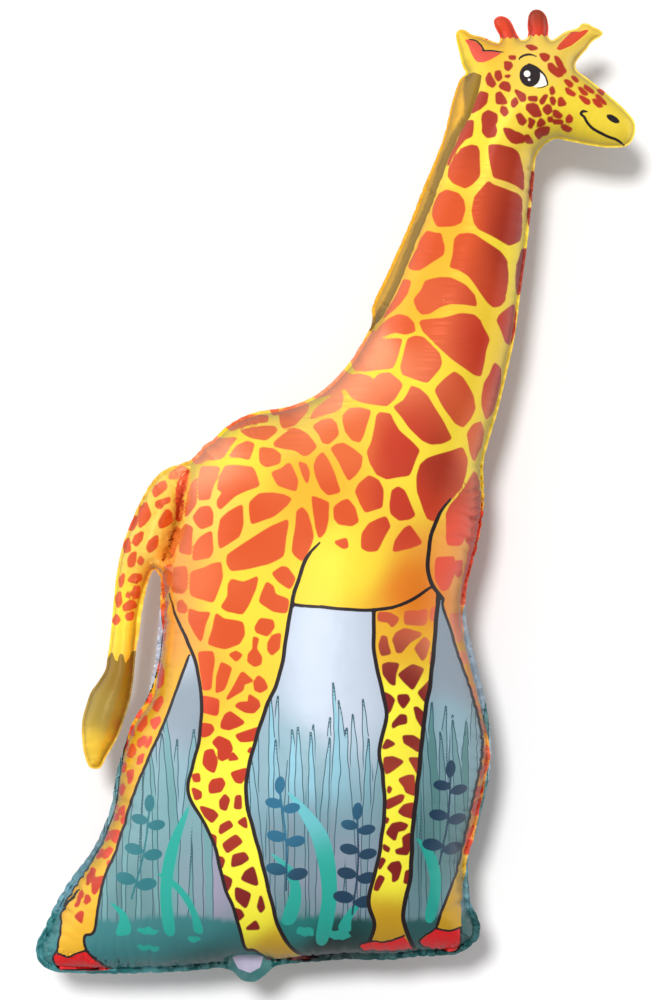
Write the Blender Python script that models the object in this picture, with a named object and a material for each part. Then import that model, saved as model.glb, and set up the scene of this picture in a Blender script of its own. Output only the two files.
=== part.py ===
"""Giraffe foil balloon, inflated and lying on its back.

Two printed foils are welded along one outline and blown up, so the balloon is one sealed solid:
puffed lobes for body, neck, head and tail, and a flat welded rim all the way round.
+X runs from the tail to the snout, +Y from the hooves to the horns and +Z up, out of the front foil.
The origin is under the middle of the outline, on the surface that the balloon lies on.
"""

import bmesh
import bpy
import numpy as np
from mathutils import Vector
from mathutils.geometry import delaunay_2d_cdt

# Driving dimensions, in metres
BALLOON_HEIGHT = 0.97
BODY_DEPTH = 0.236
RIM_WIDTH = 0.0035
RIM_THICKNESS = 0.0012
TAIL_PINCH_DEPTH = 0.014
REST_SPOT_DEPTH = 0.003

# The balloon is drawn on a sheet, x to the right and y down, on which it is this tall
SHEET_TOP = 9.5
SHEET_HEIGHT = 972.5
UNIT = BALLOON_HEIGHT / SHEET_HEIGHT

# How closely the foil is faceted, on the sheet
BODY_EDGE_STEP = 13
HEAD_EDGE_STEP = 6
HEAD_LINE = 160
RING_OFFSETS = (3, 7, 13, 21)
NARROW_LATTICE = 9
WIDE_LATTICE = 22
CURVE_SAMPLES = 24
MERGE_DISTANCE = 0.00001

MANE = [(372, 322), (372, 306), (378, 293), (387, 274), (400, 245), (412, 217), (423, 188),
        (435, 160), (444, 135), (450, 110), (455, 92), (460, 79)]
EAR_BEHIND = [(466, 74), (462, 65), (459, 52), (456, 38), (457, 31), (464, 29.5), (472, 34.5),
              (483, 37), (492, 41), (498, 43)]
HORN_BEHIND = [(500.5, 39), (497, 31), (493.5, 22), (498, 16.5), (506, 17), (511, 22),
               (515, 30), (519, 37.5)]
CROWN = [(523.5, 40)]
HORN_AHEAD = [(528, 36), (527.5, 24), (529.5, 13.5), (535, 9.5), (542, 11), (547, 18),
              (548.5, 28), (548.5, 37)]
EAR_AHEAD = [(553, 40), (560, 35), (568, 30.5), (577, 28.5), (580, 24.5), (586, 23), (593, 26.5),
             (601, 30.5), (603, 34.5), (598, 38.5), (592, 42), (587, 49), (580, 57), (575.5, 64)]
SNOUT = [(578, 71), (590, 80), (605, 92), (618, 103), (630, 115), (635, 124), (634.5, 135),
         (630, 143.5), (623, 147)]
JAW = [(605, 147.5), (585, 144.5), (568, 141), (556, 139)]
THROAT = [(547, 143.5), (539.5, 151), (535.5, 161), (534.5, 175)]
NECK_AHEAD = [(531.5, 205), (526.5, 250), (520, 297), (515, 335), (507.5, 370), (498, 410)]
CHEST = [(488.5, 442), (483.5, 464), (484, 486), (484, 508), (479, 540), (473, 562), (467.5, 584)]
FAR_FORELEG = [(465.5, 603), (467, 625), (473, 650), (480, 678), (486, 703), (490, 730),
               (491.5, 752), (488.5, 780), (483, 805), (476, 832), (470, 850), (468, 866),
               (469, 886), (471, 903)]
BASE_RIGHT = [(477, 915), (480.5, 927), (478.5, 938), (471, 946), (460, 953), (440, 956),
              (415, 957), (392, 960), (370, 960), (345, 959.5), (320, 961.5), (298, 963),
              (282, 965)]
FILLING_TAB = [(271, 968), (265, 975), (258, 980.5), (250, 982), (242, 980), (235, 974),
               (229, 968.5)]
BASE_LEFT = [(219, 968), (200, 970), (175, 972), (145, 973), (115, 974), (85, 973.5), (62, 972.5),
             (47, 969)]
FAR_HIND_LEG = [(38.5, 961), (35.5, 949), (39, 937), (46, 925), (51, 912), (58, 899), (67, 884),
                (78, 869), (89, 855), (98, 839), (104, 825), (109, 812), (112.5, 798), (115, 780),
                (119.5, 760), (125, 745), (129, 731), (134.5, 718), (142.5, 706), (148, 696)]
SLIT = [(150.5, 683), (154.5, 664), (157, 642), (159, 620), (160, 603), (160.5, 588),
        (159.5, 575), (155.5, 569), (150, 577), (145, 596), (141.5, 615), (139, 635)]
TUFT = [(136, 652), (134.5, 670), (132, 690), (129, 705), (124.5, 718), (120, 732), (114, 744),
        (108, 754), (103, 764), (96.5, 771), (89, 766.5), (84, 753), (82, 737), (82, 722),
        (86, 706), (91, 692), (99, 680.5), (105.5, 669), (108, 653)]
TAIL_OUTSIDE = [(110.5, 635), (113.5, 602), (116, 578), (119.5, 558), (124, 541), (132, 520),
                (141, 500), (149, 486), (157, 475.5), (167, 468.5), (177, 464.5), (186, 462)]
BACK = [(192, 459), (198, 452), (204, 445), (212, 440), (219, 433), (228, 425.5), (238, 419),
        (250, 414), (262, 410.5), (276, 409), (290, 406), (304, 401), (318, 393.5), (331, 383),
        (341, 372.5), (349, 363), (357, 351), (363, 340), (369, 330)]
OUTLINE = (MANE + EAR_BEHIND + HORN_BEHIND + CROWN + HORN_AHEAD + EAR_AHEAD + SNOUT + JAW + THROAT
           + NECK_AHEAD + CHEST + FAR_FORELEG + BASE_RIGHT + FILLING_TAB + BASE_LEFT
           + FAR_HIND_LEG + SLIT + TUFT + TAIL_OUTSIDE + BACK)

# The seam that pinches tail and rump apart stops short of the back, so that air reaches the tail
TAIL_PINCH = [(187, 476), (182, 500), (175, 528), (167, 553)]
# Below this line and between these sides, the filling tab's foils lie flat on each other
TAB_LEFT, TAB_RIGHT, TAB_TOP = 229, 271, 957

FOIL_COLOR = (0.92, 0.45, 0.06, 1.0)


def clear_scene():
    for item in list(bpy.data.objects):
        bpy.data.objects.remove(item, do_unlink=True)


def foil_material(name, color, metallic, roughness):
    material = bpy.data.materials.new(name)
    material.use_nodes = True
    shader = material.node_tree.nodes["Principled BSDF"]
    shader.inputs["Base Color"].default_value = color
    shader.inputs["Metallic"].default_value = metallic
    shader.inputs["Roughness"].default_value = roughness
    return material


def on_plane(points):
    """Sheet points in metres, y up."""
    sheet = np.array(points, float)
    return np.column_stack((sheet[:, 0] * UNIT, (SHEET_TOP + SHEET_HEIGHT - sheet[:, 1]) * UNIT))


def smooth_loop(corners):
    """Catmull-Rom curve through a closed row of points, sampled finely."""
    before, after = np.roll(corners, 1, axis=0), np.roll(corners, -1, axis=0)
    beyond = np.roll(corners, -2, axis=0)
    t = np.linspace(0, 1, CURVE_SAMPLES, endpoint=False)[None, :, None]
    a, b, c, d = (p[:, None, :] for p in (before, corners, after, beyond))
    curve = 0.5 * (2 * b + (c - a) * t + (2 * a - 5 * b + 4 * c - d) * t**2
                   + (3 * b - a - 3 * c + d) * t**3)
    return curve.reshape(-1, 2)


def evenly_spaced(curve, head_floor):
    """Points along a closed curve, closer together above head_floor."""
    length = np.linalg.norm(np.roll(curve, -1, axis=0) - curve, axis=1)
    step = np.where(curve[:, 1] > head_floor, HEAD_EDGE_STEP, BODY_EDGE_STEP) * UNIT
    travelled = np.concatenate(([0.0], np.cumsum(length / step)))
    wanted = np.linspace(0, travelled[-1], round(travelled[-1]), endpoint=False)
    closed = np.vstack((curve, curve[:1]))
    return np.column_stack([np.interp(wanted, travelled, closed[:, k]) for k in (0, 1)])


def distance_to(loop, points, closed=True):
    """Distance from each point to the nearest side of a loop, or of an open row of points."""
    best = np.full(len(points), np.inf)
    sides = np.roll(loop, -1, axis=0) - loop
    for start, along in list(zip(loop, sides))[:None if closed else -1]:
        offset = points - start
        share = np.clip(offset @ along / (along @ along), 0, 1)
        best = np.minimum(best, np.linalg.norm(offset - share[:, None] * along, axis=1))
    return best


def is_inside(loop, points):
    """True for each point that a closed loop surrounds."""
    inside = np.zeros(len(points), bool)
    for (x0, y0), (x1, y1) in zip(loop, np.roll(loop, -1, axis=0)):
        spans = (y0 > points[:, 1]) != (y1 > points[:, 1])
        rise = y1 - y0 if y1 != y0 else 1.0
        inside ^= spans & (points[:, 0] < (x1 - x0) * (points[:, 1] - y0) / rise + x0)
    return inside


def inward_ring(loop, offset):
    """A point beside each point of a clockwise loop, a given distance inside it, and which of
    them have that much room."""
    side = np.roll(loop, -1, axis=0) - loop
    ahead = np.column_stack((side[:, 1], -side[:, 0])) / np.linalg.norm(side, axis=1)[:, None]
    mitre = ahead + np.roll(ahead, 1, axis=0)
    mitre /= np.sum(mitre * ahead, axis=1)[:, None]
    ring = loop + offset * mitre
    return ring, distance_to(loop, ring) > 0.95 * offset


def hexagonal_lattice(low, high, spacing):
    rows = np.arange(low[1], high[1], spacing * np.sqrt(0.75))
    columns = np.arange(low[0], high[0], spacing)
    return np.array([(x + spacing / 2 * (i % 2), y) for i, y in enumerate(rows) for x in columns])


def thinned(points, kept, spacing):
    """Those of points that are further than spacing from every kept point and from each other."""
    chosen = list(kept)
    for point in points:
        if np.min(np.linalg.norm(np.array(chosen) - point, axis=1)) > spacing:
            chosen.append(point)
    return np.array(chosen[len(kept):]).reshape(-1, 2)


def pinch_points():
    ends = on_plane(TAIL_PINCH)
    spaced = [a + (b - a) * share for a, b in zip(ends, ends[1:]) for share in (0, 0.33, 0.67)]
    return np.array(spaced + [ends[-1]])


def lattice_points(loop, pinch, spacing, least_room, most_room):
    """Lattice points inside a loop whose distance from it or from the pinch is between two values."""
    lattice = hexagonal_lattice(loop.min(axis=0), loop.max(axis=0), spacing)
    room = np.minimum(distance_to(loop, lattice), distance_to(pinch, lattice, closed=False))
    return lattice[is_inside(loop, lattice) & (room > least_room) & (room < most_room)]


def flat_pattern(loop):
    """Triangles over the outline's inside, and which points lie on a weld or on the tail's pinch."""
    weld_ring, has_room = inward_ring(loop, RIM_WIDTH)
    weld_line = weld_ring[has_room]
    across = on_plane([(x, TAB_TOP) for x in np.linspace(TAB_LEFT, TAB_RIGHT, 6)])
    pinch = pinch_points()
    rows = [loop, weld_line, thinned(across, weld_line, 3 * UNIT), pinch]
    reached = 0
    for offset in RING_OFFSETS:
        ring, fits = inward_ring(loop, RIM_WIDTH + offset * UNIT)
        rows.append(thinned(ring[fits], np.vstack(rows[1:]), 0.75 * (offset - reached) * UNIT))
        reached = offset
    near, far = (RIM_WIDTH + RING_OFFSETS[k] * UNIT for k in (0, -1))
    for spacing, least, most in ((NARROW_LATTICE, near, far), (WIDE_LATTICE, far, np.inf)):
        lattice = lattice_points(loop, pinch, spacing * UNIT, least, most)
        rows.append(thinned(lattice, np.vstack(rows[1:]), 0.65 * spacing * UNIT))
    points = np.vstack(rows)
    following = [(i, (i + 1) % len(loop)) for i in range(len(loop))]
    place = len(loop) + np.cumsum(has_room) - 1
    sides = following + [(place[i], place[j]) for i, j in following if has_room[i] and has_room[j]]
    corners, _, faces, origins, _, _ = delaunay_2d_cdt(
        [Vector(p) for p in points], sides, [], 1, MERGE_DISTANCE)
    first = np.array([min(names) for names in origins])
    flat = np.array(corners, float)
    ends = np.cumsum([len(row) for row in rows])
    left, top = on_plane([(TAB_LEFT, TAB_TOP)])[0]
    right = on_plane([(TAB_RIGHT, TAB_TOP)])[0][0]
    on_tab = (flat[:, 0] > left) & (flat[:, 0] < right) & (flat[:, 1] < top + MERGE_DISTANCE)
    return flat, np.array(faces), on_tab | (first < ends[2]), (first >= ends[2]) & (first < ends[3])


def puff(flat, faces, welded, pinched):
    """Half the balloon's depth over each point of the flat pattern.

    The square of the half depth bulges like a membrane under even load, which gives a long lobe
    a round section. Wide lobes are then drawn in, until the widest is BODY_DEPTH deep.
    """
    stiffness = np.zeros((len(flat), len(flat)))
    load = np.zeros(len(flat))
    for triangle in faces:
        corner = flat[triangle]
        edge = np.roll(corner, -2, axis=0) - np.roll(corner, -1, axis=0)
        area = abs(edge[0, 0] * edge[1, 1] - edge[0, 1] * edge[1, 0]) / 2
        stiffness[np.ix_(triangle, triangle)] += edge @ edge.T / (4 * area)
        load[triangle] += 2 * area / 3
    squared = np.zeros(len(flat))
    squared[pinched] = (TAIL_PINCH_DEPTH / 2) ** 2
    free = ~(welded | pinched)
    pull = load[free] - stiffness[np.ix_(free, pinched)] @ squared[pinched]
    squared[free] = np.linalg.solve(stiffness[np.ix_(free, free)], pull)
    half = np.sqrt(np.maximum(squared, 0))
    deepest = half.max()
    drawn_in = (1 - BODY_DEPTH / 2 / deepest) / deepest
    return half * (1 - drawn_in * half)


def closed_shell(flat, faces, half_depth):
    """Front foil above and back foil below the weld plane, joined by a wall round the rim."""
    shell = bmesh.new()
    raised = half_depth + RIM_THICKNESS / 2
    front = [shell.verts.new((x, y, z)) for (x, y), z in zip(flat, raised)]
    back = [shell.verts.new((x, y, -z)) for (x, y), z in zip(flat, raised)]
    for a, b, c in faces:
        shell.faces.new((front[a], front[b], front[c]))
        shell.faces.new((back[c], back[b], back[a]))
    rims = [edge for edge in shell.edges if edge.is_boundary]
    bmesh.ops.bridge_loops(shell, edges=rims)
    bmesh.ops.triangulate(shell, faces=[f for f in shell.faces if len(f.verts) > 3])
    return shell


def press_rest_spot(shell):
    """Cuts the small flat on the back where the balloon's weight presses it down."""
    lowest = min(vertex.co.z for vertex in shell.verts)
    plane = lowest + REST_SPOT_DEPTH
    geometry = shell.verts[:] + shell.edges[:] + shell.faces[:]
    cut = bmesh.ops.bisect_plane(
        shell, geom=geometry, plane_co=(0, 0, plane), plane_no=(0, 0, -1), clear_outer=True)
    edges = [item for item in cut["geom_cut"] if isinstance(item, bmesh.types.BMEdge)]
    bmesh.ops.contextual_create(shell, geom=edges)
    return plane


def add_object(name, shape, material):
    bmesh.ops.recalc_face_normals(shape, faces=shape.faces[:])
    mesh = bpy.data.meshes.new(name)
    shape.to_mesh(mesh)
    shape.free()
    mesh.materials.append(material)
    mesh.shade_smooth()
    mesh.set_sharp_from_angle(angle=np.radians(50))
    made = bpy.data.objects.new(name, mesh)
    bpy.context.scene.collection.objects.link(made)
    return made


def balloon():
    loop = evenly_spaced(smooth_loop(on_plane(OUTLINE)), on_plane([(0, HEAD_LINE)])[0][1])
    flat, faces, welded, pinched = flat_pattern(loop)
    shell = closed_shell(flat, faces, puff(flat, faces, welded, pinched))
    floor = press_rest_spot(shell)
    made = add_object("balloon", shell, foil_material("printed_foil", FOIL_COLOR, 0.6, 0.25))
    middle = (loop.min(axis=0) + loop.max(axis=0)) / 2
    made.location = (-middle[0], -middle[1], -floor)
    return made


clear_scene()
balloon()
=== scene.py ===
"""Looks of the giraffe foil balloon: two printed foils, welded round their edge and blown up.

All drawing is done on a flat sheet, x to the right and y down, on which the balloon is 972.5 units
tall. Every printed shape is kept as a distance to its edge at each vertex, positive inside, and the
material turns the distances into crisp inks.
"""
import math

import bpy
import numpy as np
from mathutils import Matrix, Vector
from mathutils.bvhtree import BVHTree
from mathutils.geometry import delaunay_2d_cdt
from mathutils.kdtree import KDTree


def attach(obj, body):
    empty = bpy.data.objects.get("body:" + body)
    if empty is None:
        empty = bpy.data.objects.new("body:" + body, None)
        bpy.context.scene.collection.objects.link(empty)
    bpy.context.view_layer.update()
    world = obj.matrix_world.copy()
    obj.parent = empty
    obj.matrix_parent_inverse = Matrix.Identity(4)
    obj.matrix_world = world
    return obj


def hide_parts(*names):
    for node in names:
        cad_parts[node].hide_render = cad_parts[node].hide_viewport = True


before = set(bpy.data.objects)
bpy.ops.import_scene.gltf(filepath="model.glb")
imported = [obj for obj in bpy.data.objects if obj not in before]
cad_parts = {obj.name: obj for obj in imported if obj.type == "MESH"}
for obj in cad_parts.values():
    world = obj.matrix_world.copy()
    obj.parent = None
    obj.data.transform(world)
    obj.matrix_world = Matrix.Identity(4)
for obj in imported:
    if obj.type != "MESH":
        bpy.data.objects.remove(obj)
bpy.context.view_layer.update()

# The sheet: its unit in metres, and the point of it that lies over the origin
BALLOON_HEIGHT, BALLOON_DEPTH = 0.97, 0.236
SHEET_HEIGHT = 972.5
UNIT = BALLOON_HEIGHT / SHEET_HEIGHT
MIDDLE = np.array((335.56, 495.6))
CAD_NODE = "balloon"

# The foil, in sheet units
OUTLINE_STEP = 1.9
FOIL_GAP = 0.2
BODY_DEPTH = BALLOON_DEPTH / UNIT
PINCH_DEPTH = 7.0
# The weld's width, then where it differs: left, right, top, bottom and width, later ones on top
BODY_RIM, RIM_EASE = 2.6, 12
RIM_WIDTHS = [(0, 1000, 0, 160, 1.6), (0, 1000, 700, 1000, 5.0), (140, 162, 600, 1000, 5.0),
              (450, 1000, 600, 1000, 5.0), (0, 150, 0, 600, 1.8), (0, 138, 0, 772, 1.8),
              (0, 1000, 900, 1000, 6.0)]
# The valley beside the tail's root, and the flat tab at the base
TAIL_PINCH = [(188, 472), (183.5, 486), (180, 505), (176, 524), (171, 542), (164, 560)]
TAB_LEFT, TAB_RIGHT, TAB_TOP = 229, 271, 957

# The mesh: rings at these distances in from the weld, then a lattice, each with its spacing and
# the heights between which it lies. Points closer than a share of the spacing are left out.
RINGS = (1.1, 2.3, 3.7, 5.3, 7.1, 9.1, 11.3, 13.7, 16.3, 19.1, 22.0)
LATTICES = ((1.5, 0, 150), (2.4, 150, 640), (1.9, 640, 990))
CROWDING = 0.72
WELD_FIT, RING_FIT = 0.93, 0.97
TAB_STEP, TAB_ROOM = 2.0, 1.5
PINCH_STEP, PINCH_ROOM = 1.5, 1.2
GUIDE_STEP, GUIDE_ROOM = 1.7, 1.15
THINNER_CELL, RING_ROOM = 2.0, 2.0
SOLVER_STEPS, SOLVER_END = 700, 1e-6

# Distances to printed shapes are worked out only this far from them
FAR = 12.0


# Flat geometry

def smooth_row(corners, samples=6, closed=False):
    """A smooth curve through a row of points."""
    p = np.array(corners, float)
    if closed:
        p = np.vstack((p[-1:], p, p[:2]))
    else:
        p = np.vstack((2 * p[0] - p[1], p, 2 * p[-1] - p[-2]))
    t = np.linspace(0, 1, samples, endpoint=False)[None, :, None]
    a, b, c, d = (p[k:len(p) - 3 + k][:, None, :] for k in range(4))
    curve = 0.5 * (2 * b + (c - a) * t + (2 * a - 5 * b + 4 * c - d) * t**2
                   + (3 * b - a - 3 * c + d) * t**3).reshape(-1, 2)
    return curve if closed else np.vstack((curve, p[-2:-1]))


def travelled_along(curve):
    """How far along a curve each of its points lies."""
    return np.concatenate(([0], np.cumsum(np.hypot(*np.diff(curve, axis=0).T))))


def resampled_row(curve, step):
    """Points along a curve at about even steps."""
    travelled = travelled_along(curve)
    wanted = np.linspace(0, travelled[-1], round(travelled[-1] / step) + 1)
    return np.column_stack([np.interp(wanted, travelled, curve[:, k]) for k in (0, 1)])


def resampled_loop(loop, step):
    """Points at about even steps round the smooth curve through a loop."""
    curve = smooth_row(loop, 10, closed=True)
    return resampled_row(np.vstack((curve, curve[:1])), step)[:-1]


def nearest_on(row, points, closed=True):
    """Distance from each point to a row's nearest side, and how many sides along that is."""
    best = np.full(len(points), np.inf)
    place = np.zeros(len(points))
    ends = np.roll(row, -1, axis=0)
    for k in range(len(row) if closed else len(row) - 1):
        along = ends[k] - row[k]
        offset = points - row[k]
        share = np.clip(offset @ along / max(along @ along, 1e-12), 0, 1)
        gap = np.hypot(offset[:, 0] - share * along[0], offset[:, 1] - share * along[1])
        nearer = gap < best
        best[nearer] = gap[nearer]
        place[nearer] = k + share[nearer]
    return best, place


def is_inside(loop, points):
    """Which of the points lie inside a loop."""
    inside = np.zeros(len(points), bool)
    for (x0, y0), (x1, y1) in zip(loop, np.roll(loop, -1, axis=0)):
        if y0 != y1:
            spans = (y0 > points[:, 1]) != (y1 > points[:, 1])
            inside ^= spans & (points[:, 0] < (x1 - x0) * (points[:, 1] - y0) / (y1 - y0) + x0)
    return inside


def is_near(row, points):
    """Which of the points lie so near a row that their distance to it is worked out."""
    return np.all((points > row.min(axis=0) - FAR) & (points < row.max(axis=0) + FAR), axis=1)


def depth_in(loop, points):
    """Distance to a closed shape's edge, positive inside."""
    loop = np.array(loop, float)
    near = is_near(loop, points)
    out = np.full(len(points), -FAR)
    gap = nearest_on(loop, points[near])[0]
    out[near] = np.maximum(np.where(is_inside(loop, points[near]), gap, -gap), -FAR)
    return out


def depth_in_ellipse(centre, radii, tilt, points):
    """About the distance to an ellipse's edge, positive inside."""
    c, s = math.cos(tilt), math.sin(tilt)
    offset = points - centre
    x, y = offset[:, 0] * c + offset[:, 1] * s, offset[:, 1] * c - offset[:, 0] * s
    return (1 - np.hypot(x / radii[0], y / radii[1])) * min(radii)


def ramp(value, low, high):
    """From 0 at one value to 1 at another, with soft ends."""
    share = np.clip((value - low) / (high - low), 0, 1)
    return share * share * (3 - 2 * share)


def wobble(points, wave, reach):
    """A smooth, slow shift of points, for edges drawn by hand."""
    x, y = points[:, 0] / wave, points[:, 1] / wave
    return reach * np.column_stack((
        np.sin(y * 6.1 + 1.3) * 0.6 + np.sin(x * 4.3 - y * 3.7) * 0.4,
        np.sin(x * 5.7 + 0.4) * 0.6 + np.sin(x * 3.1 + y * 4.9) * 0.4))


def union(*fields):
    """The distance into whichever shape a point lies deepest in."""
    return np.maximum.reduce(fields)


# The welded outline, read from the CAD solid

def rim_of(node):
    """The solid's outline on the sheet, clockwise to the eye, and its weld plane's height."""
    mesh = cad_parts[node].data
    co = np.array([v.co[:] for v in mesh.vertices])
    side = co[co[:, 0] > co[:, 0].max() - 1e-5][:, 2]
    plane, reach = (side.max() + side.min()) / 2, (side.max() - side.min()) / 2 + 1e-5
    following = {}
    for face in mesh.polygons:
        corners = [co[v] for v in face.vertices]
        if abs(face.normal.z) > 0.1 or max(abs(c[2] - plane) for c in corners) > reach:
            continue
        for a, b in zip(corners, corners[1:] + corners[:1]):
            if a[2] > plane and b[2] > plane:
                following[tuple(np.round(a[:2], 6))] = tuple(np.round(b[:2], 6))
    start = max(following)
    row, here = [start], following[start]
    while here != start:
        row.append(here)
        here = following[here]
    loop = np.array(row) / UNIT * (1, -1) + MIDDLE
    x, y = loop.T
    turning = np.sum(x * np.roll(y, -1) - y * np.roll(x, -1))
    return (loop if turning > 0 else loop[::-1]), plane / UNIT


def inward(loop):
    """Unit normals into a loop that runs clockwise to the eye."""
    along = np.roll(loop, -1, axis=0) - np.roll(loop, 1, axis=0)
    along /= np.hypot(*along.T)[:, None]
    return np.column_stack((-along[:, 1], along[:, 0]))


def eased(values, reach):
    """A moving average round the loop."""
    total = sum(np.roll(values, k) for k in range(-reach, reach + 1))
    return total / (2 * reach + 1)


class Thinner:
    """Keeps points that stay a given distance apart."""

    def __init__(self, cell):
        self.cell, self.held = cell, {}

    def add(self, point, room):
        cx, cy = int(point[0] // self.cell), int(point[1] // self.cell)
        reach = int(room // self.cell) + 1
        for i in range(cx - reach, cx + reach + 1):
            for j in range(cy - reach, cy + reach + 1):
                for x, y in self.held.get((i, j), ()):
                    if (x - point[0]) ** 2 + (y - point[1]) ** 2 < room * room:
                        return False
        self.hold(point)
        return True

    def hold(self, point):
        cell = (int(point[0] // self.cell), int(point[1] // self.cell))
        self.held.setdefault(cell, []).append((point[0], point[1]))


def rim_width(loop):
    """The weld's width along the outline: broad round the base, narrow at the head and tail."""
    x, y = loop.T
    width = np.full(len(loop), BODY_RIM)
    for left, right, top, bottom, wide in RIM_WIDTHS:
        width[(x > left) & (x < right) & (y > top) & (y < bottom)] = wide
    return eased(width, RIM_EASE)


def spaced(points, thinner, room):
    """Those of the points that keep their distance from all that are there already."""
    return np.array([point for point in points if thinner.add(point, room)]).reshape(-1, 2)


def pattern(loop, width):
    """The foil's triangles on the sheet, which vertices are welded, and which are pinched."""
    normal = inward(loop)
    count = len(loop)
    weld = loop + normal * width[:, None]
    fits = nearest_on(loop, weld)[0] > WELD_FIT * width
    rows = [loop, (loop + normal * width[:, None] / 2)[fits], weld[fits]]
    thinner = Thinner(THINNER_CELL)
    for point in np.vstack(rows):
        thinner.hold(point)
    xs = np.arange(TAB_LEFT, TAB_RIGHT + 1, TAB_STEP)
    rows.append(spaced(np.column_stack((xs, np.full(len(xs), TAB_TOP))), thinner, TAB_ROOM))
    rows.append(spaced(resampled_row(smooth_row(TAIL_PINCH), PINCH_STEP), thinner, PINCH_ROOM))
    guides = np.vstack([resampled_row(smooth_row(row), GUIDE_STEP) for *_, row in LINES + FACE_LINES])
    rows.append(spaced(guides[is_inside(loop, guides)], thinner, GUIDE_ROOM))
    reached = 0
    for offset in RINGS:
        ring = loop + normal * (width + offset)[:, None]
        good = nearest_on(loop, ring)[0] > RING_FIT * (width + offset)
        rows.append(spaced(ring[good], thinner, CROWDING * min(offset - reached, RING_ROOM)))
        reached = offset
    left, right = loop[:, 0].min(), loop[:, 0].max()
    for spacing, top, bottom in LATTICES:
        ys = np.arange(top, bottom, spacing * math.sqrt(0.75))
        xs = np.arange(left, right, spacing)
        lattice = np.array([(x + spacing / 2 * (i % 2), y) for i, y in enumerate(ys) for x in xs])
        rows.append(spaced(lattice[is_inside(loop, lattice)], thinner, CROWDING * spacing))
    sides = [(i, (i + 1) % count) for i in range(count)]
    place = count + fits.sum() + np.cumsum(fits) - 1
    sides += [(int(place[i]), int(place[j])) for i, j in sides if fits[i] and fits[j]]
    flat, _, faces, origin, _, _ = delaunay_2d_cdt(
        [Vector(point) for point in np.vstack(rows)], sides, [], 1, 1e-5)
    flat, faces = np.array(flat, float), np.array(faces)
    ends = np.cumsum([len(row) for row in rows])
    first = np.array([min(names, default=ends[-1]) for names in origin])
    x, y = flat.T
    on_tab = (x > TAB_LEFT - 1) & (x < TAB_RIGHT + 1) & (y > TAB_TOP - 0.1)
    return flat, faces, (first < ends[3]) | on_tab, (first >= ends[3]) & (first < ends[4]), count


def solid_depth(node, flat, plane):
    """Half the solid's depth over each sheet point, as a first guess for the foil."""
    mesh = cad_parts[node].data
    tree = BVHTree.FromPolygons([v.co for v in mesh.vertices], [p.vertices for p in mesh.polygons])
    depth = np.zeros(len(flat))
    for k, (x, y) in enumerate((flat - MIDDLE) * UNIT):
        hit = tree.ray_cast(Vector((x, -y, 1)), Vector((0, 0, -1)))[0]
        depth[k] = max(hit.z / UNIT - plane, 0) if hit else 0
    return depth


def puffed(flat, faces, welded, pinched, guess):
    """Half the foil's depth: its square bulges like a membrane under even load."""
    n = len(flat)
    weights, starts, ends = [], [], []
    load = np.zeros(n)
    p = flat[faces]
    area = np.abs(np.cross(p[:, 1] - p[:, 0], p[:, 2] - p[:, 0])) / 2
    for k in range(3):
        a, b, c = p[:, k], p[:, (k + 1) % 3], p[:, (k + 2) % 3]
        weights.append(np.sum((b - a) * (c - a), axis=1) / (4 * area))
        starts.append(faces[:, (k + 1) % 3])
        ends.append(faces[:, (k + 2) % 3])
        load += np.bincount(faces[:, k], 2 * area / 3, n)
    w, i, j = np.concatenate(weights), np.concatenate(starts), np.concatenate(ends)
    free = (~(welded | pinched)).astype(float)
    stiff = np.bincount(i, w, n) + np.bincount(j, w, n)

    def pull(u):
        flow = w * (u[i] - u[j])
        return np.bincount(i, flow, n) - np.bincount(j, flow, n)

    u = guess**2
    u[welded] = 0
    u[pinched] = (PINCH_DEPTH / 2) ** 2
    left = (load - pull(u)) * free
    step = left / stiff
    way = step.copy()
    size = left @ step
    for _ in range(SOLVER_STEPS):
        push = pull(way) * free
        reach = size / (way @ push)
        u += reach * way
        left -= reach * push
        step = left / stiff
        new = left @ step
        way = step + new / size * way
        size = new
        if size < SOLVER_END:
            break
    half = np.sqrt(np.maximum(u, 0))
    deepest = half.max()
    return half * (1 - (1 - BODY_DEPTH / 2 / deepest) / deepest * half)


def rhythm(along, pitch, seed):
    """How many uneven folds lie between the outline's start and each place along it."""
    turns = along / pitch
    return turns + 0.35 * np.sin(turns * 0.73 + seed) + 0.25 * np.sin(turns * 0.31 + 2 * seed) + 2


def valleys(turns, seed):
    """Sharp valleys between round tops, each with its own depth, and each one's own reach."""
    rng = np.random.default_rng(seed)
    number = np.floor(turns + 0.5).astype(int)
    depth = rng.uniform(0.25, 1.0, number.max() + 2)[number]
    reach = rng.uniform(0.45, 1.5, number.max() + 2)[number]
    return depth * (1 - np.abs(np.sin(np.pi * turns)) ** 0.6), reach


def folds(along, inside, pitch, reach, seed):
    """Depth of the folds that run in from the weld and die out."""
    turns = rhythm(along, pitch, seed) + 0.16 * np.sin(inside / 6.0 + along / 17.0)
    depth, share = valleys(turns, seed)
    return depth * np.exp(-inside / (reach * share)) * (1 - np.exp(-inside / 1.4))


def leaning(flat, faces, half):
    """The puffed foil's unit normals on the sheet, with the third number out of it."""
    p = np.column_stack((flat, half))
    a, b, c = (p[faces[:, k]] for k in range(3))
    across = np.cross(b - a, c - a)
    across *= np.sign(across[:, 2])[:, None]
    normal = np.column_stack([sum(np.bincount(faces[:, k], across[:, axis], len(flat))
                                  for k in range(3)) for axis in range(3)])
    return normal / np.linalg.norm(normal, axis=1)[:, None]


# The print: coat

def corners_of(text):
    """Closed shapes from their corners, written x,y, with each corner cut twice to round it."""
    shapes = []
    for shape in text.split(";"):
        row = np.array([corner.split(",") for corner in shape.split()], float)
        for cut in (0.1, 0.25):
            after = np.roll(row, -1, axis=0)
            row = np.stack((row + cut * (after - row), after + cut * (row - after)), 1).reshape(-1, 2)
        shapes.append(row)
    return shapes


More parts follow.
